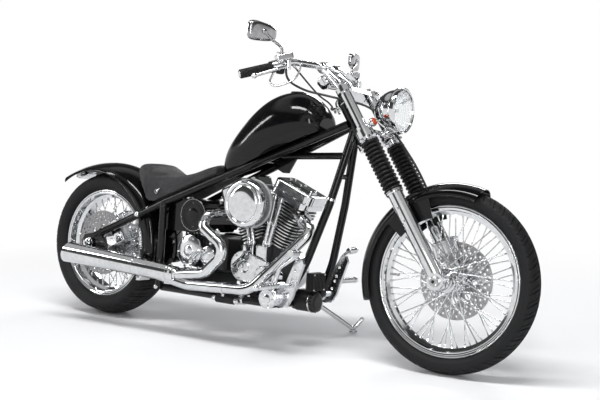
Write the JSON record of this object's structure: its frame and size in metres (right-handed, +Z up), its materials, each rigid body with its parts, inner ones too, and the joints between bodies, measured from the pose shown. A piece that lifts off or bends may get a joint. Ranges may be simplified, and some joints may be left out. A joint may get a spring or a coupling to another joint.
{
  "type": "chopper motorcycle",
  "caption": "Long, raked custom motorcycle with an open V-twin, twin-leg fork, wire wheels, low seat, swept muffler and forward foot controls, leaning on its side stand.",
  "frame": {"origin": "on the floor, under the middle of the whole motorcycle's box as it stands on its side stand", "axes": "+X forward along the machine, +Y to the rider's left, +Z up; the machine itself leans 6.5 degrees to the left"},
  "size_m": [2.4149, 0.8838, 1.3084],
  "materials": {
    "frame_paint": "gloss black powder coat",
    "body_paint": "deep gloss black under clear coat",
    "engine_black": "satin black",
    "chrome": "bright plating",
    "polished_alloy": "polished",
    "steel": "ground",
    "leather": "black grained hide",
    "rubber": "moulded",
    "tyre": "black with a slight bloom",
    "red_lens": "moulded lens",
    "amber_lens": "moulded lens",
    "hose": "black sleeve"
  },
  "bodies": {
    "chassis": {"frame_rails": "frame_paint", "rear_frame": "frame_paint", "frame_cradle": "frame_paint", "rear_axle": "steel", "rear_caliper": "polished_alloy", "fuel_tank": "body_paint", "rear_fender": "body_paint", "seat": "leather", "tail_lamp": "red_lens", "crankcase": "engine_black", "cylinders": "engine_black", "rocker_boxes": "chrome", "engine_covers": "chrome", "transmission": "engine_black", "drive_belt": "rubber", "air_cleaner": "chrome", "carburettor": "polished_alloy", "exhaust_headers": "chrome", "muffler": "chrome", "oil_tank": "body_paint", "filter_and_regulator": "engine_black", "forward_controls": "chrome", "foot_pegs": "rubber"},
    "steering": {"fork_crown": "chrome", "fork_gaiters": "rubber", "fork_sliders": "polished_alloy", "front_axle": "steel", "front_fender": "body_paint", "front_caliper": "polished_alloy", "headlight": "chrome", "handlebar": "chrome", "grips": "rubber", "hand_controls": "chrome", "mirrors": "chrome", "speedometer": "chrome", "marker_lamps": "amber_lens", "cables": "hose"},
    "front_wheel": {"front_tyre": "tyre", "front_spoke_wheel": "chrome", "front_disc": "steel"},
    "rear_wheel": {"rear_tyre": "tyre", "rear_spoke_wheel": "chrome", "rear_disc": "steel", "rear_pulley": "polished_alloy"},
    "stand": {"side_stand": "frame_paint"}
  },
  "joints": [
    {"name": "steering", "type": "hinge", "parent": "chassis", "child": "steering", "pos_m": [0.46553, -0.01803, 0.82284], "axis": [-0.5586, 0.0938, 0.8241], "range_deg": [-33.5, 26.5]},
    {"name": "front_wheel_spin", "type": "hinge", "parent": "steering", "child": "front_wheel", "pos_m": [0.8649, -0.06935, 0.33978], "axis": [-0.0507, 0.9879, -0.1469], "continuous": true},
    {"name": "rear_wheel_spin", "type": "hinge", "parent": "chassis", "child": "rear_wheel", "pos_m": [-0.88002, -0.07474, 0.32607], "axis": [-0.0001, 0.9936, -0.1132], "continuous": true},
    {"name": "side_stand_fold", "type": "hinge", "parent": "chassis", "child": "stand", "pos_m": [0.17185, 0.07697, 0.13745], "axis": [0.0005, 0.6799, 0.7333], "range_deg": [0, 101.7]}
  ]
}
